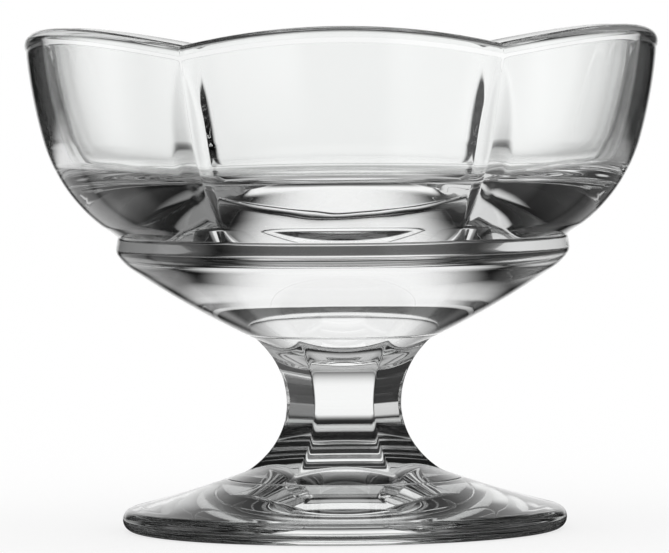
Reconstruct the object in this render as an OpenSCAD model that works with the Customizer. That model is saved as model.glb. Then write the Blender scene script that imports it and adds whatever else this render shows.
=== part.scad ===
// Footed dessert glass: a bowl of six round petals with arched rims, a thick
// floor and a conical underside, a stem cut into hollow facets, and a round foot.
// Origin at the centre of the foot's resting ring, +Z up, one petal facing -Y.

/* [Petals] */
// Number of petals round the bowl, and of facets round the stem
petal_count = 6; // [5:1:7]
// Distance from the glass axis to the middle of a petal's wall, at the rim
petal_reach = 61.1; // [55:0.1:68]
// Depth of the creases between the petals, at the rim
rim_crease_depth = 2.4; // [1.5:0.1:4]
// Depth of the creases at the petals' lower edge
low_crease_depth = 3.9; // [3:0.1:6]
// Half the width of the leaf-shaped groove along each crease, at its widest
groove_half_w = 3.4; // [2:0.1:5]
// Depth of the groove below the petals' walls, at its deepest
groove_depth = 0.9; // [0.4:0.1:2]
// Height of the groove's upper point below the petals' tips
groove_top_drop = 6.1; // [5:0.1:12]
// Height of the petals above the waist, at their tips
petal_h = 39.4; // [34:0.1:46]
// Lean of the petal wall from upright at the rim, in degrees
rim_lean = 1.5; // [0:0.5:6]
// Radius of the upper, nearly straight curve of the petal wall
upper_curve_r = 90; // [70:1:140]
// Radius of the lower curve, which turns the wall in to the skirt
lower_curve_r = 30; // [25:0.5:36]
// Lean of the wall where the two curves meet, in degrees
belly_lean = 15; // [11:0.5:19]
// Radius of the arch along each petal's rim, seen from the side
rim_arch_r = 134; // [100:1:200]
// Thickness of the petal wall
wall_t = 3.2; // [2.2:0.1:4]

/* [Bowl floor and underside] */
// Radius of the narrow waist between the petals' skirt and the shoulder
waist_r = 42.3; // [36:0.1:46]
// Height of the skirt that draws in from the petals' lower edge to the waist
skirt_h = 2.4; // [1.6:0.1:4]
// Height of the inside floor above the waist, at the middle
floor_h = 8.2; // [4:0.1:14]
// Radius of the floor's shallow dish
floor_dish_r = 300; // [200:10:600]
// Size of the small curve where the wall meets the floor
floor_bend_r = 2.5; // [1:0.1:5]
// How far the rounded shoulder stands out past the waist above it
shoulder_overhang = 0.35; // [0:0.05:2]
// Height of the waist above the shoulder's widest line
shoulder_drop = 2.2; // [1:0.1:3]
// Small rounding of the shoulder at its widest line
shoulder_round = 2.24; // [1.6:0.02:3]
// Larger rounding that leads from the shoulder into the cone
cone_lead_r = 10.4; // [8:0.1:13]
// Radius of the gently bulging cone under the shoulder
cone_bulge_r = 161; // [130:1:220]
// Height of the underside, from the stem joint to the shoulder's widest line
underside_h = 16.4; // [14:0.1:19]

/* [Stem] */
// Height of the stem between its two joints
stem_h = 27; // [24:0.1:32]
// Height of the stem's narrowest place above the foot joint
stem_waist_h = 14.1; // [12:0.1:16]
// Half the distance across two opposite facets at the narrowest place
stem_flat_r = 9.43; // [8:0.01:11]
// Radius of the facets' hollow above the narrowest place
upper_hollow_r = 17.5; // [16.5:0.1:19]
// Radius of the facets' hollow below the narrowest place
lower_hollow_r = 15.5; // [15:0.1:17]

/* [Foot] */
// Height of the foot at the stem joint
foot_h = 9.6; // [8:0.1:12]
// Outer radius of the foot
foot_r = 41.8; // [38:0.1:46]
// Radius of the rounded edge of the foot
foot_edge_r = 2.1; // [1.6:0.1:2.8]
// Radius of the joint between foot and stem
foot_joint_r = 22.1; // [21.6:0.1:24]
// Radius of the hollow sweep of the foot's top
foot_sweep_r = 217; // [120:1:400]
// Width of the flat ring that the glass rests on
rest_ring_w = 3; // [2:0.1:5]
// Depth of the hollow under the foot, at the middle
foot_hollow_h = 2.2; // [1:0.1:4]

/* [Hidden] */
$fn = 144;

// Steps round each petal and along the curves of the outlines
petal_steps = 16;
wall_steps = 12;
rim_steps = 6;
floor_steps = 2;
curve_steps = 6;
short_curve_steps = 4;
// Share of the creases' depth that shows on the inside, where they are softer
inner_depth_share = 0.85;
// Steps across each half of a groove, and how full its leaf shape is
groove_steps = 4;
leaf_power = 0.75;

// Heights of the joints and of the main lines of the glass
stem_joint_z = foot_h + stem_h;
shoulder_z = stem_joint_z + underside_h;
waist_z = shoulder_z + shoulder_drop;
skirt_z = waist_z + skirt_h;
tip_z = waist_z + petal_h;
floor_z = waist_z + floor_h;
stem_waist_z = foot_h + stem_waist_h;

// Radius of the rounded shoulder under the waist
shoulder_r = waist_r + shoulder_overhang;

// Angle between neighbouring petals, and the turn that puts one petal on -Y
petal_turn = 360 / petal_count;
front_turn = -90;

// Points of an arc about centre c, from angle a to angle b
function arc(c, r, a, b, steps) =
    [for (i = [0:steps]) let (t = a + (b - a) * i / steps) c + r * [cos(t), sin(t)]];

// Points of the arc of radius r from a to b whose centre lies above it
function hollow_arc(a, b, r, steps) = let (
        chord = b - a,
        up = [chord[1], -chord[0]] / norm(chord),
        c = (a + b) / 2 + up * sqrt(r * r - chord * chord / 4),
        from = a - c,
        to = b - c)
    arc(c, r, atan2(from[1], from[0]), atan2(to[1], to[0]), steps);

// A curve that leaves a towards b and arrives at c from b, without a itself
function bend(a, b, c, steps) =
    [for (i = [1:steps]) let (t = i / steps) (1 - t) * (1 - t) * a + 2 * t * (1 - t) * b + t * t * c];

// A list without its first point, where an outline already has that point
function rest(list) = [for (i = [1:len(list) - 1]) list[i]];

// The middle of a petal's wall is two arcs that bulge outwards and share a
// tangent where the wall leans by belly_lean. The lower arc turns it in.
belly_z = tip_z - upper_curve_r * (sin(belly_lean) - sin(rim_lean));
belly_r = petal_reach - upper_curve_r * (cos(rim_lean) - cos(belly_lean));
upper_centre = [belly_r, belly_z] + upper_curve_r * [-cos(belly_lean), sin(belly_lean)];
lower_centre = [belly_r, belly_z] + lower_curve_r * [-cos(belly_lean), sin(belly_lean)];

// Distance of a circle's outer side from the upright through zero, at height z
function arc_at(c, r, z) = c[0] + sqrt(max(0, r * r - pow(z - c[1], 2)));

// Distance of a petal's middle from the glass axis at height z, moved in by inset
function middle_at(z, inset) = z > belly_z
    ? arc_at(upper_centre, upper_curve_r - inset, z)
    : arc_at(lower_centre, lower_curve_r - inset, z);

// The creases grow shallower from the petals' lower edge up to the rim
function crease_depth(z) = low_crease_depth
    + (rim_crease_depth - low_crease_depth) * (z - skirt_z) / (tip_z - skirt_z);

// Distance from the glass axis, phi degrees off a petal's middle, of the round
// petal that reaches as far as middle and meets its neighbours at crease
function petal_at(phi, middle, crease) = let (
        offset = (middle * middle - crease * crease) / (2 * (middle - crease * cos(petal_turn / 2))),
        r = middle - offset)
    offset * cos(phi) + sqrt(max(0, r * r - pow(offset * sin(phi), 2)));

// How wide and deep a groove is at height z, as a share of its most: pointed at
// the petals' lower edge and near the rim
function leaf(z) = let (t = (z - skirt_z) / (tip_z - groove_top_drop - skirt_z))
    t <= 0 || t >= 1 ? 0 : pow(sin(180 * t), leaf_power);

// The outside, with its groove cut as a V along the crease
function outside_at(phi, z) = let (
        middle = middle_at(z, 0),
        wall = petal_at(phi, middle, middle - crease_depth(z)),
        off_crease = wall * sin(petal_turn / 2 - abs(phi)),
        half_w = groove_half_w * leaf(z))
    wall - (off_crease < half_w ? groove_depth * leaf(z) * (1 - off_crease / half_w) : 0);
function inside_at(phi, z) = let (crease = middle_at(z, wall_t) - crease_depth(z))
    petal_at(phi, crease + inner_depth_share * crease_depth(z), crease);

// The underside is built down from the shoulder's widest line, where it is
// upright. A small rounding and a larger lead bring it into the bulging cone.
round_lean = 35;
lead_lean = 55.6;
round_centre = [shoulder_r - shoulder_round, shoulder_z];
lead_centre = round_centre + (cone_lead_r - shoulder_round) * [-cos(round_lean), sin(round_lean)];
cone_centre = lead_centre + (cone_bulge_r - cone_lead_r) * [-cos(lead_lean), sin(lead_lean)];
cone_lean = asin((cone_centre[1] - stem_joint_z) / cone_bulge_r);
stem_joint_r = cone_centre[0] + cone_bulge_r * cos(cone_lean);
underside = concat(
    arc(cone_centre, cone_bulge_r, -cone_lean, -lead_lean, curve_steps),
    rest(arc(lead_centre, cone_lead_r, -lead_lean, -round_lean, short_curve_steps)),
    rest(arc(round_centre, shoulder_round, -round_lean, 0, short_curve_steps)));

// The rim's highest line: each petal's edge is an arch, lowest at the creases
function rim_z(phi) = let (t = outside_at(phi, tip_z) * sin(phi))
    tip_z - rim_arch_r + sqrt(rim_arch_r * rim_arch_r - t * t);

// The floor is a shallow dish. Two steps find where it meets the petal wall.
function floor_at(r) = floor_z + r * r / (2 * floor_dish_r);
function floor_edge(phi) = let (
        near = inside_at(phi, floor_at(waist_r)),
        r = inside_at(phi, floor_at(near)))
    [r, floor_at(r)];

// Outline of the bowl's solid, phi degrees off a petal's middle: along the cone,
// in at the waist, up the skirt and the outside, over the round rim, down the
// inside and along the floor
function meridian(phi) = let (
        lip_z = rim_z(phi) - wall_t / 2,
        lip_out = outside_at(phi, lip_z),
        lip_in = inside_at(phi, lip_z),
        edge = floor_edge(phi),
        bend_z = edge[1] + floor_bend_r,
        bend_r = edge[0] - floor_bend_r)
    concat(
        underside,
        [[waist_r, waist_z]],
        [for (i = [0:wall_steps]) let (z = skirt_z + (lip_z - skirt_z) * i / wall_steps)
            [outside_at(phi, z), z]],
        [for (i = [1:rim_steps]) let (t = 180 * i / rim_steps)
            [(lip_out + lip_in) / 2 + (lip_out - lip_in) / 2 * cos(t), lip_z + wall_t / 2 * sin(t)]],
        [for (i = [1:wall_steps]) let (z = lip_z + (bend_z - lip_z) * i / wall_steps)
            [inside_at(phi, z), z]],
        bend([inside_at(phi, bend_z), bend_z], edge, [bend_r, floor_at(bend_r)], short_curve_steps),
        [for (i = [1:floor_steps]) let (r = bend_r * (1 - i / (floor_steps + 1))) [r, floor_at(r)]]);

// Angle of step i from a crease, closer together over the width of its groove
groove_turn = asin(groove_half_w / waist_r);
function off_crease_angle(i) = i <= groove_steps
    ? groove_turn * i / groove_steps
    : groove_turn + (petal_turn / 2 - groove_turn) * (i - groove_steps) / (petal_steps / 2 - groove_steps);

// Angle of step i round a petal, from its middle
function step_angle(i) = i <= petal_steps / 2
    ? off_crease_angle(i) - petal_turn / 2
    : petal_turn / 2 - off_crease_angle(petal_steps - i);

// The bowl is lofted round the axis through its meridians
module bowl() {
    columns = petal_count * petal_steps;
    outlines = [for (i = [0:petal_steps - 1]) meridian(step_angle(i))];
    rows = len(outlines[0]);
    points = [for (k = [0:petal_count - 1]) for (i = [0:petal_steps - 1])
        let (turn = front_turn + k * petal_turn + step_angle(i))
            for (p = outlines[i]) [p[0] * cos(turn), p[0] * sin(turn), p[1]]];
    under = len(points);
    inside = under + 1;
    skin = [for (j = [0:columns - 1]) let (a = j * rows, b = (j + 1) % columns * rows)
        for (i = [0:rows - 2]) each [[a + i, a + i + 1, b + i + 1], [a + i, b + i + 1, b + i]]];
    caps = [for (j = [0:columns - 1]) let (a = j * rows, b = (j + 1) % columns * rows)
        each [[under, a, b], [inside, b + rows - 1, a + rows - 1]]];
    color("lightcyan", 0.5)
        polyhedron(concat(points, [[0, 0, stem_joint_z], [0, 0, floor_z]]), concat(skin, caps));
}

// What one facet takes off the stem: two half cylinders that lie level across
// it, one above and one below the narrowest place
module facet_cut() {
    rotate([90, 0, 0])
        linear_extrude(height = 2 * foot_joint_r, center = true) {
            intersection() {
                translate([stem_flat_r + upper_hollow_r, stem_waist_z])
                    circle(r = upper_hollow_r);
                translate([0, stem_waist_z])
                    square([2 * (stem_flat_r + upper_hollow_r), upper_hollow_r]);
            }
            intersection() {
                translate([stem_flat_r + lower_hollow_r, stem_waist_z])
                    circle(r = lower_hollow_r);
                translate([0, stem_waist_z - lower_hollow_r])
                    square([2 * (stem_flat_r + lower_hollow_r), lower_hollow_r]);
            }
        }
}

// The foot's top is a hollow sweep from its rounded edge up to the stem joint.
// The chord from edge to joint gives how steeply it rises at either end.
foot_chord = [foot_r - foot_edge_r - foot_joint_r, foot_h - 2 * foot_edge_r];
foot_chord_rise = atan2(foot_chord[1], foot_chord[0]);
foot_sweep_half = asin(norm(foot_chord) / (2 * foot_sweep_r));
foot_edge_rise = foot_chord_rise - foot_sweep_half;
foot_joint_rise = foot_chord_rise + foot_sweep_half;

module stem() {
    top_cone_h = stem_joint_r / tan(cone_lean);
    base_cone_h = foot_joint_r * tan(foot_joint_rise);
    color("lightcyan", 0.5)
        union() {
            difference() {
                translate([0, 0, foot_h])
                    cylinder(h = stem_h, r1 = foot_joint_r, r2 = stem_joint_r);
                for (k = [0:petal_count - 1])
                    rotate([0, 0, front_turn + k * petal_turn]) facet_cut();
            }
            translate([0, 0, stem_joint_z - top_cone_h])
                cylinder(h = top_cone_h, r1 = 0, r2 = stem_joint_r);
            translate([0, 0, foot_h])
                cylinder(h = base_cone_h, r1 = foot_joint_r, r2 = 0);
        }
}

// The glass rests on a flat ring round a shallow hollow under the foot
rest_ring_r = foot_r - foot_edge_r - rest_ring_w;
foot_hollow_r = (rest_ring_r * rest_ring_r + foot_hollow_h * foot_hollow_h) / (2 * foot_hollow_h);
foot_edge = arc([foot_r - foot_edge_r, foot_edge_r], foot_edge_r, -90, 90 - foot_edge_rise,
    2 * curve_steps);

module foot() {
    color("lightcyan", 0.5)
        rotate_extrude() polygon(concat(
            arc([0, foot_hollow_h - foot_hollow_r], foot_hollow_r, 90,
                90 - asin(rest_ring_r / foot_hollow_r), curve_steps),
            foot_edge,
            rest(hollow_arc(foot_edge[2 * curve_steps], [foot_joint_r, foot_h], foot_sweep_r,
                curve_steps)),
            [[0, foot_h]]));
}

bowl();
stem();
foot();
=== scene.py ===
# Footed dessert glass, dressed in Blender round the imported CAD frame.
# Each glass piece is a fine lofted mesh of the same curves as its CAD node.
import math
from collections import namedtuple
import bpy
import numpy as np
from mathutils import Matrix, Vector


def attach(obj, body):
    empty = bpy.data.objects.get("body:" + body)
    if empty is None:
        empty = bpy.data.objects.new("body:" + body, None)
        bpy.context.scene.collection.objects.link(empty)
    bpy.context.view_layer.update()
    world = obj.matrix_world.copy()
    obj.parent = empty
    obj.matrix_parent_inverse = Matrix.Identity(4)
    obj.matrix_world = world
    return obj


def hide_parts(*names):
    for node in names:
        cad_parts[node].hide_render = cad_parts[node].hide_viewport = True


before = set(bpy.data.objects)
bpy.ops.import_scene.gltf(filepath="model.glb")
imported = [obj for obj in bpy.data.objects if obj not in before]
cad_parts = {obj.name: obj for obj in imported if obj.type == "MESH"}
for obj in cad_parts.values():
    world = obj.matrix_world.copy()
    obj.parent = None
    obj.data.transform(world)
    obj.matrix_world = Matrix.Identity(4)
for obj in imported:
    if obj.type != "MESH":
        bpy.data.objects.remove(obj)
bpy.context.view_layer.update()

MM = 0.001

# Driving sizes, the same as in the CAD source: lengths in millimetres, leans in radians

# Petals
PETALS = 6
PETAL_REACH = 61.1
RIM_CREASE_DEPTH = 2.4
LOW_CREASE_DEPTH = 3.9
INNER_DEPTH_SHARE = 0.85
PETAL_H = 39.4
RIM_LEAN = math.radians(1.5)
UPPER_CURVE_R = 90.0
LOWER_CURVE_R = 30.0
BELLY_LEAN = math.radians(15)
RIM_ARCH_R = 134.0
WALL_T = 3.2

# Leaf-shaped grooves along the creases
GROOVE_HALF_W = 3.4
GROOVE_DEPTH = 0.9
GROOVE_TOP_DROP = 6.1
LEAF_POWER = 0.75

# Floor, skirt and underside of the bowl
WAIST_R = 42.3
SKIRT_H = 2.4
FLOOR_H = 8.2
FLOOR_DISH_R = 300.0
FLOOR_BEND_R = 2.5
SHOULDER_OVERHANG = 0.35
SHOULDER_DROP = 2.2
SHOULDER_ROUND = 2.24
CONE_LEAD_R = 10.4
CONE_BULGE_R = 161.0
UNDERSIDE_H = 16.4
# Where the shoulder's rounding passes into the lead, and the lead into the cone
ROUND_LEAN = math.radians(35)
LEAD_LEAN = math.radians(55.6)

# Stem
STEM_H = 27.0
STEM_WAIST_H = 14.1
STEM_FLAT_R = 9.43
UPPER_HOLLOW_R = 17.5
LOWER_HOLLOW_R = 15.5

# Foot
FOOT_H = 9.6
FOOT_R = 41.8
FOOT_EDGE_R = 2.1
FOOT_JOINT_R = 22.1
FOOT_SWEEP_R = 217.0
REST_RING_W = 3.0
FOOT_HOLLOW_H = 2.2

# Fine touches that the CAD leaves out: how far corners are rounded, and the rim band
OUT_CREASE_K = 0.5
IN_CREASE_K = 1.0
GROOVE_K = 0.12
STEM_EDGE_K = 0.5
RIM_BAND_H = 2.7
RIM_BAND_OUT = 0.10
RIM_BAND_FADE = 0.5

# Steps of the bowl's mesh along its outline, from the stem joint to the axis
CONE_STEPS = 24
LEAD_STEPS = 8
ROUND_STEPS = 10
SHOULDER_STEPS = 4
SKIRT_STEPS = 12
WALL_STEPS = 65
LIP_STEPS = 16
INNER_STEPS = 51
BEND_STEPS = 12
DISH_STEPS = 25

# Steps of the stem's mesh in height, closer together near both ends
STEM_LOW_FINE_H = 7.0
STEM_TOP_FINE_H = 4.0
STEM_LOW_STEPS = 45
STEM_MIDDLE_STEPS = 49
STEM_TOP_STEPS = 29

# Steps of the foot's mesh along its outline, from the axis below to the stem joint
HOLLOW_STEPS = 40
RING_STEPS = 6
EDGE_STEPS = 30
SWEEP_STEPS = 40

# Columns round one petal or facet, and how much they crowd to the creases, then
# the columns round the whole foot
BOWL_COLUMNS = 72
BOWL_CROWD_SHARE = 0.75
STEM_COLUMNS = 40
STEM_CROWD_SHARE = 0.4
FOOT_COLUMNS = 240

# Heights
STEM_JOINT_Z = FOOT_H + STEM_H
STEM_WAIST_Z = FOOT_H + STEM_WAIST_H
SHOULDER_Z = STEM_JOINT_Z + UNDERSIDE_H
WAIST_Z = SHOULDER_Z + SHOULDER_DROP
SKIRT_Z = WAIST_Z + SKIRT_H
FLOOR_Z = WAIST_Z + FLOOR_H
TIP_Z = WAIST_Z + PETAL_H
PETAL_TURN = 2 * math.pi / PETALS
FRONT_TURN = -math.pi / 2

# Arcs of the wall: their common point at the belly, then their centres
BELLY_Z = TIP_Z - UPPER_CURVE_R * (math.sin(BELLY_LEAN) - math.sin(RIM_LEAN))
BELLY_R = PETAL_REACH - UPPER_CURVE_R * (math.cos(RIM_LEAN) - math.cos(BELLY_LEAN))
UPPER_C = (BELLY_R - UPPER_CURVE_R * math.cos(BELLY_LEAN),
           BELLY_Z + UPPER_CURVE_R * math.sin(BELLY_LEAN))
LOWER_C = (BELLY_R - LOWER_CURVE_R * math.cos(BELLY_LEAN),
           BELLY_Z + LOWER_CURVE_R * math.sin(BELLY_LEAN))


def next_centre(c, r, next_r, lean):
    """Centre of the arc that carries on smoothly, at lean, from the arc r about c."""
    return c + (next_r - r) * np.array((-math.cos(lean), math.sin(lean)))


# Arcs of the underside: the shoulder's rounding, the cone's lead and the cone's bulge
SHOULDER_R = WAIST_R + SHOULDER_OVERHANG
ROUND_C = np.array((SHOULDER_R - SHOULDER_ROUND, SHOULDER_Z))
LEAD_C = next_centre(ROUND_C, SHOULDER_ROUND, CONE_LEAD_R, ROUND_LEAN)
CONE_C = next_centre(LEAD_C, CONE_LEAD_R, CONE_BULGE_R, LEAD_LEAN)
CONE_LEAN = math.asin((CONE_C[1] - STEM_JOINT_Z) / CONE_BULGE_R)
STEM_JOINT_R = CONE_C[0] + CONE_BULGE_R * math.cos(CONE_LEAN)

# The foot's upper sweep: its chord, and how it rises at the edge and at the stem joint
FOOT_CHORD = (FOOT_R - FOOT_EDGE_R - FOOT_JOINT_R, FOOT_H - 2 * FOOT_EDGE_R)
FOOT_CHORD_RISE = math.atan2(FOOT_CHORD[1], FOOT_CHORD[0])
FOOT_SWEEP_HALF = math.asin(math.hypot(*FOOT_CHORD) / (2 * FOOT_SWEEP_R))
FOOT_EDGE_RISE = FOOT_CHORD_RISE - FOOT_SWEEP_HALF
FOOT_JOINT_RISE = FOOT_CHORD_RISE + FOOT_SWEEP_HALF

# Clear pressed glass: refraction, the mould's ripple in metres and its smear
GLASS_IOR = 1.52
RIPPLE_SCALE = 55
RIPPLE_DETAIL = 2
RIPPLE_HEIGHT = 0.00002
SMEAR = 0.02
CLEAR_TINT = (0.985, 0.992, 0.988)
FOOT_TINT = (0.96, 0.975, 0.968)

# Studio light for glass. The backdrop is white, also where the glass shows it
# straight behind itself. Between the bright sectors stand dark walls, which give
# the glass its dark edges, and the floor round the foot is dark for the same reason.
# A sector has a direction from +X, half its width and its soft edge in degrees, and
# a brightness.
Sector = namedtuple("Sector", "turn half soft level")
BEHIND = Sector(90, 8, 16, 1.0)
LEFT = Sector(180, 8, 16, 0.9)
RIGHT = Sector(0, 10, 20, 0.35)
FRONT = Sector(270, 20, 30, 0.3)
FRONT_RIGHT = Sector(315, 14, 20, 0.9)
SECTORS = (BEHIND, LEFT, RIGHT, FRONT, FRONT_RIGHT)
# These two are painted light: glowing patches on the floor only, near the foot, that only the glass
# shows
BEHIND_LEFT = Sector(138, 12, 13, 0.75)
BEHIND_RIGHT = Sector(42, 12, 13, 0.25)
PAINTED_NEAR_SECTORS = (BEHIND_LEFT, BEHIND_RIGHT)
DARK_LEVEL = 0.01
LAMP_LEVEL = 0.5
# Painted light: brightness of a ring of glow painted on the floor under the foot, which the glass
# shows in its foot
PAINTED_RING_LEVEL = 0.8
# Share of the floor's white that comes from light on it, and so shows a shadow
MATTE_SHARE = 0.3

# Soft steps, from where each starts to where it ends. On the floor they are distances
# from the axis in metres, and on the walls and overhead the sines of the angle upwards.
SECTORS_IN = (0.06, 0.10)
NEAR_IN = (0.052, 0.070)
NEAR_OUT = (0.3, 0.5)
PAINTED_RING_IN = (0.016, 0.023)
PAINTED_RING_OUT = (0.032, 0.039)
WALLS_OUT = (math.sin(math.radians(10)), math.sin(math.radians(40)))
LAMP_IN = (math.sin(math.radians(55)), math.sin(math.radians(75)))
# Least distance from the axis that a direction is divided by
LEAST_REACH = 0.0001

# Floor plane in metres, a hair below the foot
FLOOR_HALF_W = 20.0
FLOOR_PLANE_Z = -0.00005

# Camera in metres, at the photograph's angle: level with the rim, looking a little down
CAM_DISTANCE = 1.177
CAM_HEIGHT = 0.0946
AIM = Vector((-0.0016, 0, 0.0475))
ROLL = math.radians(-0.47)
SENSOR_W_MM = 36
LENS_MM = 337
CLIP = (0.05, 50)

# Light bounces, many because light crosses face after face of the glass
GLASS_BOUNCES = 32
OTHER_BOUNCES = 16


def even(a, b, steps):
    """Numbers from a to b in even steps, both ends included."""
    return np.linspace(a, b, steps + 1)


def smooth_max(a, b, k):
    """The larger of a and b, with the corner between them rounded over k."""
    h = np.maximum(k - np.abs(a - b), 0) / k
    return np.maximum(a, b) + h * h * k / 4


def smooth_min(a, b, k):
    """The smaller of a and b, with the corner between them rounded over k."""
    return -smooth_max(-a, -b, k)


def smooth_step(t):
    """Soft step from 0 to 1 as t goes from 0 to 1."""
    t = np.clip(t, 0, 1)
    return t * t * (3 - 2 * t)


def arc(c, r, a, b, steps):
    """Points of an arc about c from angle a to angle b, both ends included."""
    t = even(a, b, steps)
    return np.stack([c[0] + r * np.cos(t), c[1] + r * np.sin(t)], axis=1)


def arc_at(c, r, z):
    """Distance from the glass axis of the arc about c at height z."""
    return c[0] + np.sqrt(np.maximum(0, r * r - (z - c[1]) ** 2))


def middle_at(z, inset):
    """Distance of a petal's middle from the glass axis at height z."""
    return np.where(z > BELLY_Z, arc_at(UPPER_C, UPPER_CURVE_R - inset, z),
                    arc_at(LOWER_C, LOWER_CURVE_R - inset, z))


def crease_depth(z):
    """How far a crease lies inside the petals' middles at height z."""
    share = (z - SKIRT_Z) / (TIP_Z - SKIRT_Z)
    return LOW_CREASE_DEPTH + (RIM_CREASE_DEPTH - LOW_CREASE_DEPTH) * share


def petal_at(phi, middle, crease, k):
    """Round petal that reaches as far as middle and meets its neighbours at
    crease, where the corner between them is rounded over k."""
    offset = (middle ** 2 - crease ** 2) / (2 * (middle - crease * math.cos(PETAL_TURN / 2)))
    r = middle - offset

    def wall(turn):
        """The circle of radius r about offset, at turn off the petal's middle."""
        return offset * np.cos(turn) + np.sqrt(np.maximum(0, r ** 2 - (offset * np.sin(turn)) ** 2))
    return smooth_max(wall(abs(phi)), wall(PETAL_TURN - abs(phi)), k)


def leaf(z):
    """How wide and deep a groove is at height z, as a share of its most."""
    t = np.clip((z - SKIRT_Z) / (TIP_Z - GROOVE_TOP_DROP - SKIRT_Z), 0, 1)
    return np.sin(math.pi * t) ** LEAF_POWER


def outside_at(phi, z):
    """The outside, with a leaf-shaped V cut along the crease."""
    middle = middle_at(z, 0)
    wall = petal_at(phi, middle, middle - crease_depth(z), OUT_CREASE_K)
    off_crease = wall * math.sin(max(0, PETAL_TURN / 2 - abs(phi)))
    cut = GROOVE_DEPTH * (leaf(z) - off_crease / GROOVE_HALF_W)
    return wall - smooth_max(cut, 0, GROOVE_K)


def inside_at(phi, z):
    """The inside, with the same petals a little shallower."""
    crease = middle_at(z, WALL_T) - crease_depth(z)
    return petal_at(phi, crease + INNER_DEPTH_SHARE * crease_depth(z), crease, IN_CREASE_K)


def rim_z(phi):
    """Height of the rim, which arches over each petal."""
    t = outside_at(phi, TIP_Z) * np.sin(phi)
    return TIP_Z - RIM_ARCH_R + np.sqrt(RIM_ARCH_R ** 2 - t * t)


def floor_at(r):
    """Height of the dished inside floor."""
    return FLOOR_Z + r * r / (2 * FLOOR_DISH_R)


def band_out(z, top):
    """How far the plain band under the rim stands proud of the wall."""
    return RIM_BAND_OUT * smooth_step((z - (top - RIM_BAND_H)) / RIM_BAND_FADE)


def straight(a, b, steps):
    """Points of the straight line from a to b, both ends left out."""
    t = even(0, 1, steps)[1:-1, None]
    return np.array(a) * (1 - t) + np.array(b) * t


def underside():
    """The bowl's outline from the stem joint up to the shoulder."""
    cone = arc(CONE_C, CONE_BULGE_R, -CONE_LEAN, -LEAD_LEAN, CONE_STEPS)
    lead = arc(LEAD_C, CONE_LEAD_R, -LEAD_LEAN, -ROUND_LEAN, LEAD_STEPS)
    shoulder = arc(ROUND_C, SHOULDER_ROUND, -ROUND_LEAN, 0, ROUND_STEPS)
    return np.concatenate([cone, lead[1:], shoulder[1:]])


def outer_wall(phi, top, lip_z):
    """From the shoulder over the skirt and up the petal to the lip."""
    skirt_end = (float(outside_at(phi, SKIRT_Z)), SKIRT_Z)
    neck = straight((SHOULDER_R, SHOULDER_Z), (WAIST_R, WAIST_Z), SHOULDER_STEPS)
    skirt = straight((WAIST_R, WAIST_Z), skirt_end, SKIRT_STEPS)
    z = even(SKIRT_Z, lip_z, WALL_STEPS)
    wall = np.stack([outside_at(phi, z) + band_out(z, top), z], axis=1)
    return np.concatenate([neck, [(WAIST_R, WAIST_Z)], skirt, wall])


def lip(outer_r, inner_r, z):
    """Half round over the rim, from the outside to the inside."""
    t = even(0, math.pi, LIP_STEPS)[1:]
    return np.stack([(outer_r + inner_r) / 2 + (outer_r - inner_r) / 2 * np.cos(t),
                     z + WALL_T / 2 * np.sin(t)], axis=1)


def inner_side(phi, lip_z):
    """From the lip down the inside wall, round the bend and along the floor."""
    edge_r = float(inside_at(phi, floor_at(inside_at(phi, floor_at(WAIST_R)))))
    edge = np.array((edge_r, floor_at(edge_r)))
    bend_z = edge[1] + FLOOR_BEND_R
    bend_r = edge[0] - FLOOR_BEND_R
    z = even(lip_z, bend_z, INNER_STEPS)[1:]
    wall = np.stack([inside_at(phi, z), z], axis=1)
    t = even(0, 1, BEND_STEPS)[1:, None]
    start = np.array((float(inside_at(phi, bend_z)), bend_z))
    end = np.array((bend_r, floor_at(bend_r)))
    bend = (1 - t) ** 2 * start + 2 * t * (1 - t) * edge + t * t * end
    r = bend_r * even(1, 0, DISH_STEPS)[1:-1]
    dish = np.stack([r, floor_at(r)], axis=1)
    return np.concatenate([wall, bend, dish])


def bowl_outline(phi):
    """Outline of the bowl phi off a petal's middle, from the stem joint to near the axis."""
    top = rim_z(phi)
    lip_z = top - WALL_T / 2
    outer_r = outside_at(phi, lip_z) + band_out(lip_z, top)
    inner_r = inside_at(phi, lip_z)
    return np.concatenate([underside(), outer_wall(phi, top, lip_z),
                           lip(outer_r, inner_r, lip_z), inner_side(phi, lip_z)])


def facet_at(z):
    """Distance of a facet's hollow from the axis at height z."""
    r = np.where(z > STEM_WAIST_Z, UPPER_HOLLOW_R, LOWER_HOLLOW_R)
    return STEM_FLAT_R + r - np.sqrt(np.maximum(0, r * r - (z - STEM_WAIST_Z) ** 2))


def stem_outline(phi):
    """Outline of the stem phi off a facet's middle, from the foot up to the bowl."""
    low_z = FOOT_H + STEM_LOW_FINE_H
    top_z = STEM_JOINT_Z - STEM_TOP_FINE_H
    z = np.concatenate([even(FOOT_H, low_z, STEM_LOW_STEPS)[:-1],
                        even(low_z, top_z, STEM_MIDDLE_STEPS)[:-1],
                        even(top_z, STEM_JOINT_Z, STEM_TOP_STEPS)])
    blank = FOOT_JOINT_R + (STEM_JOINT_R - FOOT_JOINT_R) * (z - FOOT_H) / STEM_H
    own = facet_at(z) / np.cos(phi)
    other = facet_at(z) / np.cos(PETAL_TURN - np.abs(phi))
    cut = smooth_min(own, other, STEM_EDGE_K)
    cut = smooth_min(blank, cut, STEM_EDGE_K)
    top_cone = STEM_JOINT_R - (STEM_JOINT_Z - z) * math.tan(CONE_LEAN)
    base_cone = FOOT_JOINT_R - (z - FOOT_H) / math.tan(FOOT_JOINT_RISE)
    r = smooth_max(smooth_max(cut, top_cone, STEM_EDGE_K), base_cone, STEM_EDGE_K)
    r[0] = FOOT_JOINT_R
    r[-1] = STEM_JOINT_R
    return np.stack([r, z], axis=1)


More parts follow.
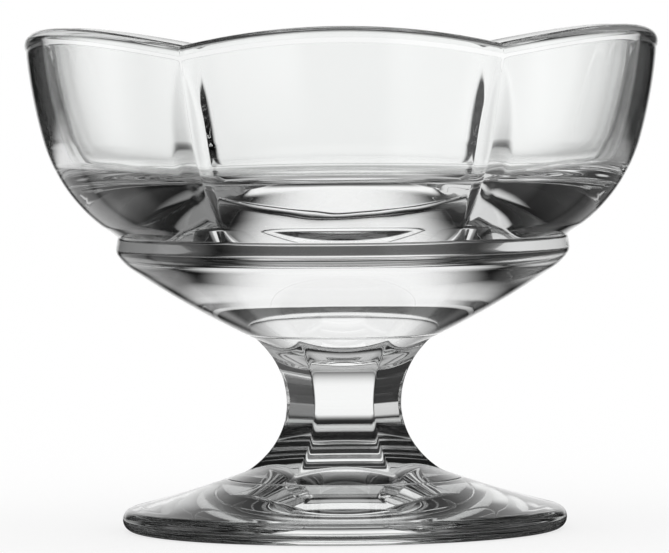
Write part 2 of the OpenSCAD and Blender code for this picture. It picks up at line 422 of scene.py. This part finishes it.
def hollow_arc(a, b, r, steps):
    """Points of the arc of radius r from a to b whose centre lies above it."""
    a, b = np.array(a), np.array(b)
    chord = b - a
    up = np.array((chord[1], -chord[0])) / np.linalg.norm(chord)
    c = (a + b) / 2 + up * math.sqrt(r * r - chord @ chord / 4)
    return arc(c, r, math.atan2(*(a - c)[::-1]), math.atan2(*(b - c)[::-1]), steps)


def foot_outline():
    """Outline of the foot, from the hollow's middle round the edge to the stem joint."""
    edge_centre_r = FOOT_R - FOOT_EDGE_R
    ring_r = edge_centre_r - REST_RING_W
    hollow_r = (ring_r ** 2 + FOOT_HOLLOW_H ** 2) / (2 * FOOT_HOLLOW_H)
    hollow_end = math.pi / 2 - math.asin(ring_r / hollow_r)
    hollow = arc((0, FOOT_HOLLOW_H - hollow_r), hollow_r, math.pi / 2, hollow_end, HOLLOW_STEPS)
    ring = straight((ring_r, 0), (edge_centre_r, 0), RING_STEPS)
    edge = arc((edge_centre_r, FOOT_EDGE_R), FOOT_EDGE_R, -math.pi / 2,
               math.pi / 2 - FOOT_EDGE_RISE, EDGE_STEPS)
    sweep = hollow_arc(edge[-1], (FOOT_JOINT_R, FOOT_H), FOOT_SWEEP_R, SWEEP_STEPS)
    return np.concatenate([hollow[1:], ring, edge, sweep[1:]])


def loft(name, outlines, turns, low_tip, high_tip, low_cap, high_cap):
    """Closed mesh through outlines set round the axis, with a fan at each end
    whose tip is on the axis. A cap is True where the fan is a joint to a neighbour."""
    columns, rows = len(outlines), len(outlines[0])
    points = []
    for outline, turn in zip(outlines, turns):
        for r, z in outline:
            points.append((r * math.cos(turn) * MM, r * math.sin(turn) * MM, z * MM))
    low, high = len(points), len(points) + 1
    points += [(0, 0, low_tip * MM), (0, 0, high_tip * MM)]
    faces, caps = [], []
    for j in range(columns):
        a, b = j * rows, (j + 1) % columns * rows
        for i in range(rows - 1):
            faces.append((a + i, b + i, b + i + 1, a + i + 1))
            caps.append(0)
        faces.append((low, b, a))
        caps.append(int(low_cap))
        faces.append((high, a + rows - 1, b + rows - 1))
        caps.append(int(high_cap))
    mesh = bpy.data.meshes.new(name)
    mesh.from_pydata(points, [], faces)
    mesh.polygons.foreach_set("material_index", caps)
    mesh.polygons.foreach_set("use_smooth", [c == 0 for c in caps])
    mesh.update()
    obj = bpy.data.objects.new(name, mesh)
    bpy.context.collection.objects.link(obj)
    return obj


def petal_columns(outline_at, columns, crowd_share):
    """Outlines and turns round the axis of columns that repeat with the petals,
    closer together at the creases."""
    u = 2 * np.arange(columns) / columns - 1
    angles = PETAL_TURN / 2 * ((1 - crowd_share) * u + crowd_share * np.sin(np.pi / 2 * u))
    outlines = [outline_at(a) for a in angles] * PETALS
    turns = [FRONT_TURN + k * PETAL_TURN + a for k in range(PETALS) for a in angles]
    return outlines, turns


def make_bowl():
    outlines, turns = petal_columns(bowl_outline, BOWL_COLUMNS, BOWL_CROWD_SHARE)
    return loft("bowl_glass", outlines, turns, STEM_JOINT_Z, FLOOR_Z, True, False)


def make_stem():
    outlines, turns = petal_columns(stem_outline, STEM_COLUMNS, STEM_CROWD_SHARE)
    return loft("stem_glass", outlines, turns, FOOT_H, STEM_JOINT_Z, True, True)


def make_foot():
    outlines = [foot_outline()] * FOOT_COLUMNS
    turns = [2 * math.pi * j / FOOT_COLUMNS for j in range(FOOT_COLUMNS)]
    return loft("foot_glass", outlines, turns, FOOT_HOLLOW_H, FOOT_H, False, True)


def glass_material(name, tint):
    """Clear pressed glass with the faint ripple that a mould leaves."""
    mat = bpy.data.materials.new(name)
    mat.use_nodes = True
    nt = mat.node_tree
    shader = nt.nodes["Principled BSDF"]
    shader.inputs["Base Color"].default_value = (*tint, 1)
    shader.inputs["Transmission Weight"].default_value = 1
    shader.inputs["IOR"].default_value = GLASS_IOR
    coords = nt.nodes.new("ShaderNodeTexCoord")
    noise = nt.nodes.new("ShaderNodeTexNoise")
    noise.inputs["Scale"].default_value = RIPPLE_SCALE
    noise.inputs["Detail"].default_value = RIPPLE_DETAIL
    bump = nt.nodes.new("ShaderNodeBump")
    bump.inputs["Strength"].default_value = 1
    bump.inputs["Distance"].default_value = RIPPLE_HEIGHT
    nt.links.new(coords.outputs["Object"], noise.inputs["Vector"])
    nt.links.new(noise.outputs["Fac"], bump.inputs["Height"])
    nt.links.new(bump.outputs["Normal"], shader.inputs["Normal"])
    smear = nt.nodes.new("ShaderNodeMapRange")
    smear.inputs["To Min"].default_value = 0
    smear.inputs["To Max"].default_value = SMEAR
    nt.links.new(noise.outputs["Fac"], smear.inputs["Value"])
    nt.links.new(smear.outputs["Result"], shader.inputs["Roughness"])
    return mat


def joint_material():
    """The unseen faces where two pieces are fused let light straight through."""
    mat = bpy.data.materials.new("fused_joint")
    mat.use_nodes = True
    nt = mat.node_tree
    nt.nodes.remove(nt.nodes["Principled BSDF"])
    clear = nt.nodes.new("ShaderNodeBsdfTransparent")
    nt.links.new(clear.outputs[0], nt.nodes["Material Output"].inputs["Surface"])
    return mat


def math_node(nt, op, a, b=None):
    """Output of a Math node whose inputs are sockets or plain numbers."""
    node = nt.nodes.new("ShaderNodeMath")
    node.operation = op
    for i, v in enumerate((a, b)):
        if isinstance(v, bpy.types.NodeSocket):
            nt.links.new(v, node.inputs[i])
        elif v is not None:
            node.inputs[i].default_value = v
    return node.outputs[0]


def ramp(nt, value, span, before, after):
    """Soft step of a value over span, from one level before it to another after it."""
    node = nt.nodes.new("ShaderNodeMapRange")
    node.interpolation_type = "SMOOTHSTEP"
    nt.links.new(value, node.inputs["Value"])
    node.inputs["From Min"].default_value = span[0]
    node.inputs["From Max"].default_value = span[1]
    node.inputs["To Min"].default_value = before
    node.inputs["To Max"].default_value = after
    return node.outputs["Result"]


def mix(nt, share, a, b):
    """Output between a plain number a and a socket b, by share."""
    node = nt.nodes.new("ShaderNodeMix")
    nt.links.new(share, node.inputs["Factor"])
    node.inputs["A"].default_value = a
    nt.links.new(b, node.inputs["B"])
    return node.outputs["Result"]


def places(nt, output):
    """X, Y and Z of a direction or place, and its distance from the upright axis."""
    coords = nt.nodes.new("ShaderNodeTexCoord")
    axes = nt.nodes.new("ShaderNodeSeparateXYZ")
    nt.links.new(coords.outputs[output], axes.inputs[0])
    x, y, z = axes.outputs
    square = math_node(nt, "ADD", math_node(nt, "MULTIPLY", x, x), math_node(nt, "MULTIPLY", y, y))
    return x, y, z, math_node(nt, "MAXIMUM", math_node(nt, "SQRT", square), LEAST_REACH)


def sectors(nt, x, y, reach, table):
    """Brightness by direction round the axis, the brightest of the table's sectors."""
    best = None
    for s in table:
        a = math.radians(s.turn)
        side_x = math_node(nt, "MULTIPLY", x, math.cos(a))
        side_y = math_node(nt, "MULTIPLY", y, math.sin(a))
        along = math_node(nt, "DIVIDE", math_node(nt, "ADD", side_x, side_y), reach)
        edge = (math.cos(math.radians(s.half + s.soft)), math.cos(math.radians(s.half)))
        glow = ramp(nt, along, edge, 0, s.level)
        best = glow if best is None else math_node(nt, "MAXIMUM", best, glow)
    return best


def white_or_glow(nt, glow):
    """White to the camera and as light on the floor, and glow where glass bends or
    mirrors it."""
    path = nt.nodes.new("ShaderNodeLightPath")
    through = path.outputs["Is Transmission Ray"]
    mirrored = path.outputs["Is Glossy Ray"]
    return mix(nt, math_node(nt, "MAXIMUM", through, mirrored), 1, glow)


def build_world():
    """White backdrop that the glass sees as bright sectors between dark walls."""
    world = bpy.data.worlds.new("studio")
    bpy.context.scene.world = world
    world.use_nodes = True
    nt = world.node_tree
    x, y, z, reach = places(nt, "Generated")
    walls = math_node(nt, "MULTIPLY", sectors(nt, x, y, reach, SECTORS),
                      ramp(nt, z, WALLS_OUT, 1, 0))
    glow = math_node(nt, "MAXIMUM", walls, ramp(nt, z, LAMP_IN, 0, LAMP_LEVEL))
    glow = math_node(nt, "MAXIMUM", glow, DARK_LEVEL)
    backdrop = nt.nodes["Background"]
    backdrop.inputs["Color"].default_value = (1, 1, 1, 1)
    nt.links.new(white_or_glow(nt, glow), backdrop.inputs["Strength"])


def floor_glow(nt):
    """The sectors painted as glow on the floor, and a painted ring of glow under the foot; only the
    glass shows them, as light that it bends or mirrors.
    """
    x, y, _, reach = places(nt, "Object")
    # Painted light: the sectors' glow painted on the floor beyond the foot, seen only through the
    # glass
    far = math_node(nt, "MULTIPLY", sectors(nt, x, y, reach, SECTORS),
                    ramp(nt, reach, SECTORS_IN, 0, 1))
    # Painted light: glowing patches on the floor near the foot
    near = math_node(nt, "MULTIPLY", sectors(nt, x, y, reach, PAINTED_NEAR_SECTORS),
                     ramp(nt, reach, NEAR_IN, 0, 1))
    near = math_node(nt, "MULTIPLY", near, ramp(nt, reach, NEAR_OUT, 1, 0))
    # Painted light: the ring of glow on the floor under the foot
    ring = math_node(nt, "MULTIPLY", ramp(nt, reach, PAINTED_RING_IN, 0, PAINTED_RING_LEVEL),
                     ramp(nt, reach, PAINTED_RING_OUT, 1, 0))
    glow = math_node(nt, "MAXIMUM", math_node(nt, "MAXIMUM", far, near), ring)
    return math_node(nt, "MAXIMUM", glow, DARK_LEVEL)


def floor_material():
    """As bright as the backdrop, with a matte share that shows the object's shadow."""
    mat = bpy.data.materials.new("floor_white")
    mat.use_nodes = True
    nt = mat.node_tree
    nt.nodes.remove(nt.nodes["Principled BSDF"])
    level = white_or_glow(nt, floor_glow(nt))
    light = nt.nodes.new("ShaderNodeEmission")
    light.inputs["Color"].default_value = (1, 1, 1, 1)
    nt.links.new(math_node(nt, "MULTIPLY", level, 1 - MATTE_SHARE), light.inputs["Strength"])
    matte = nt.nodes.new("ShaderNodeBsdfDiffuse")
    nt.links.new(math_node(nt, "MULTIPLY", level, MATTE_SHARE), matte.inputs["Color"])
    both = nt.nodes.new("ShaderNodeAddShader")
    nt.links.new(light.outputs[0], both.inputs[0])
    nt.links.new(matte.outputs[0], both.inputs[1])
    nt.links.new(both.outputs[0], nt.nodes["Material Output"].inputs["Surface"])
    return mat


def build_floor():
    """Wide level plane under the glass."""
    w, z = FLOOR_HALF_W, FLOOR_PLANE_Z
    mesh = bpy.data.meshes.new("floor")
    mesh.from_pydata([(-w, -w, z), (w, -w, z), (w, w, z), (-w, w, z)], [], [(0, 1, 2, 3)])
    floor = bpy.data.objects.new("floor", mesh)
    bpy.context.collection.objects.link(floor)
    floor.data.materials.append(floor_material())


def build_camera():
    """Camera on the photograph's line of sight."""
    data = bpy.data.cameras.new("camera")
    data.sensor_width = SENSOR_W_MM
    data.lens = LENS_MM
    data.clip_start, data.clip_end = CLIP
    camera = bpy.data.objects.new("camera", data)
    bpy.context.collection.objects.link(camera)
    eye = Vector((AIM.x, -CAM_DISTANCE, CAM_HEIGHT))
    look = (AIM - eye).to_track_quat("-Z", "Y").to_matrix().to_4x4()
    camera.matrix_world = Matrix.Translation(eye) @ look @ Matrix.Rotation(ROLL, 4, "Z")
    bpy.context.scene.camera = camera


joint = joint_material()
for make, node, tint in ((make_bowl, "bowl", CLEAR_TINT),
                         (make_stem, "stem", CLEAR_TINT),
                         (make_foot, "foot", FOOT_TINT)):
    piece = make()
    piece.data.materials.append(glass_material(node + "_glass", tint))
    piece.data.materials.append(joint)
    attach(piece, "root")
    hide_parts(node)

build_world()
build_floor()
build_camera()

scene = bpy.context.scene
scene.view_settings.view_transform = "Standard"
scene.cycles.max_bounces = GLASS_BOUNCES
scene.cycles.transmission_bounces = GLASS_BOUNCES
scene.cycles.glossy_bounces = OTHER_BOUNCES
scene.cycles.transparent_max_bounces = OTHER_BOUNCES
